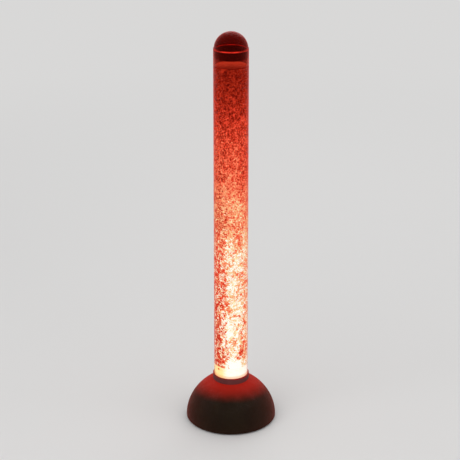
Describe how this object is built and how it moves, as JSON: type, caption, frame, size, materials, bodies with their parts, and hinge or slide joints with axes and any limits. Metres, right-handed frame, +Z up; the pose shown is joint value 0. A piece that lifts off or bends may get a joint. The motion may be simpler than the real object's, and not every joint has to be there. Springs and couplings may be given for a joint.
{
  "type": "bubble tube lamp",
  "caption": "Free-standing floor or table light: a clear water-filled tube of rising bubbles with a dome cap, on a moulded dome base that holds its air pump and lights.",
  "frame": {"origin": "centre of the surface that the rubber feet stand on, on the tube's axis", "axes": "+Z up along the tube, -Y towards the viewer, +Y the back with the inlet and the button"},
  "size_m": [0.215, 0.215, 0.95],
  "materials": {
    "housing": "matt moulded plastic",
    "collar": "satin moulded plastic",
    "black_plastic": "matt black plastic",
    "rubber": "black rubber",
    "acrylic": "clear polished acrylic",
    "cap": "clear acrylic, lit red",
    "water": "water full of bubbles, lit red from below",
    "porous": "porous bonded grit",
    "nylon": "white nylon",
    "board": "green solder mask",
    "led": "lit LED package",
    "steel": "plain steel",
    "copper": "enamelled copper wire",
    "silicone": "translucent silicone",
    "cable": "cable jacket",
    "button": "satin black plastic"
  },
  "bodies": {
    "base": {"base_housing": "housing", "base_plate": "black_plastic", "rubber_foot_1": "rubber", "rubber_foot_2": "rubber", "rubber_foot_3": "rubber", "rubber_foot_4": "rubber", "base_screw_1": "steel", "base_screw_2": "steel", "base_screw_3": "steel", "base_screw_4": "steel", "tube_collar": "collar", "collar_seal": "rubber", "bubble_tube": "acrylic", "tube_gasket": "rubber", "tube_end_plug": "acrylic", "air_inlet": "nylon", "inlet_washer": "rubber", "inlet_nut": "nylon", "air_diffuser": "porous", "water_column": "water", "led_carrier": "nylon", "led_board": "board", "led_1": "led", "led_2": "led", "led_3": "led", "led_4": "led", "led_5": "led", "led_6": "led", "pump_case": "black_plastic", "pump_lid": "black_plastic", "pump_grommet_1": "rubber", "pump_grommet_2": "rubber", "pump_grommet_3": "rubber", "pump_grommet_4": "rubber", "magnet_core": "steel", "coil_bobbin": "nylon", "coil_winding": "copper", "arm_pin": "steel", "pump_diaphragm": "rubber", "valve_block": "nylon", "air_hose_lower": "silicone", "check_valve": "nylon", "air_hose_upper": "silicone", "dc_socket": "black_plastic", "dc_socket_nut": "nylon", "button_bezel": "black_plastic", "bezel_nut": "nylon", "button_spring": "steel", "switch_body": "black_plastic", "control_board": "board", "dc_cable": "cable", "switch_cable": "cable", "pump_cable": "cable", "led_cable": "cable"},
    "cap": {"tube_cap": "cap"},
    "arm": {"pump_arm": "nylon", "arm_magnet": "steel"},
    "button": {"push_button": "button"}
  },
  "joints": [
    {"name": "cap_lift", "type": "slide", "parent": "base", "child": "cap", "axis": [0, 0, 1], "range_m": [0, 0.06]},
    {"name": "arm_swing", "type": "hinge", "parent": "base", "child": "arm", "pos_m": [0.044, 0, 0.032], "axis": [0, 1, 0], "range_deg": [-1.8, 1.8], "stiffness_Nm_per_rad": 3, "springref_deg": 0.12, "deforming": ["pump_diaphragm"]},
    {"name": "button_press", "type": "slide", "parent": "base", "child": "button", "axis": [0, -1, 0], "range_m": [0, 0.0012], "stiffness_N_per_m": 800, "springref_m": -0.001, "deforming": ["button_spring"]}
  ]
}
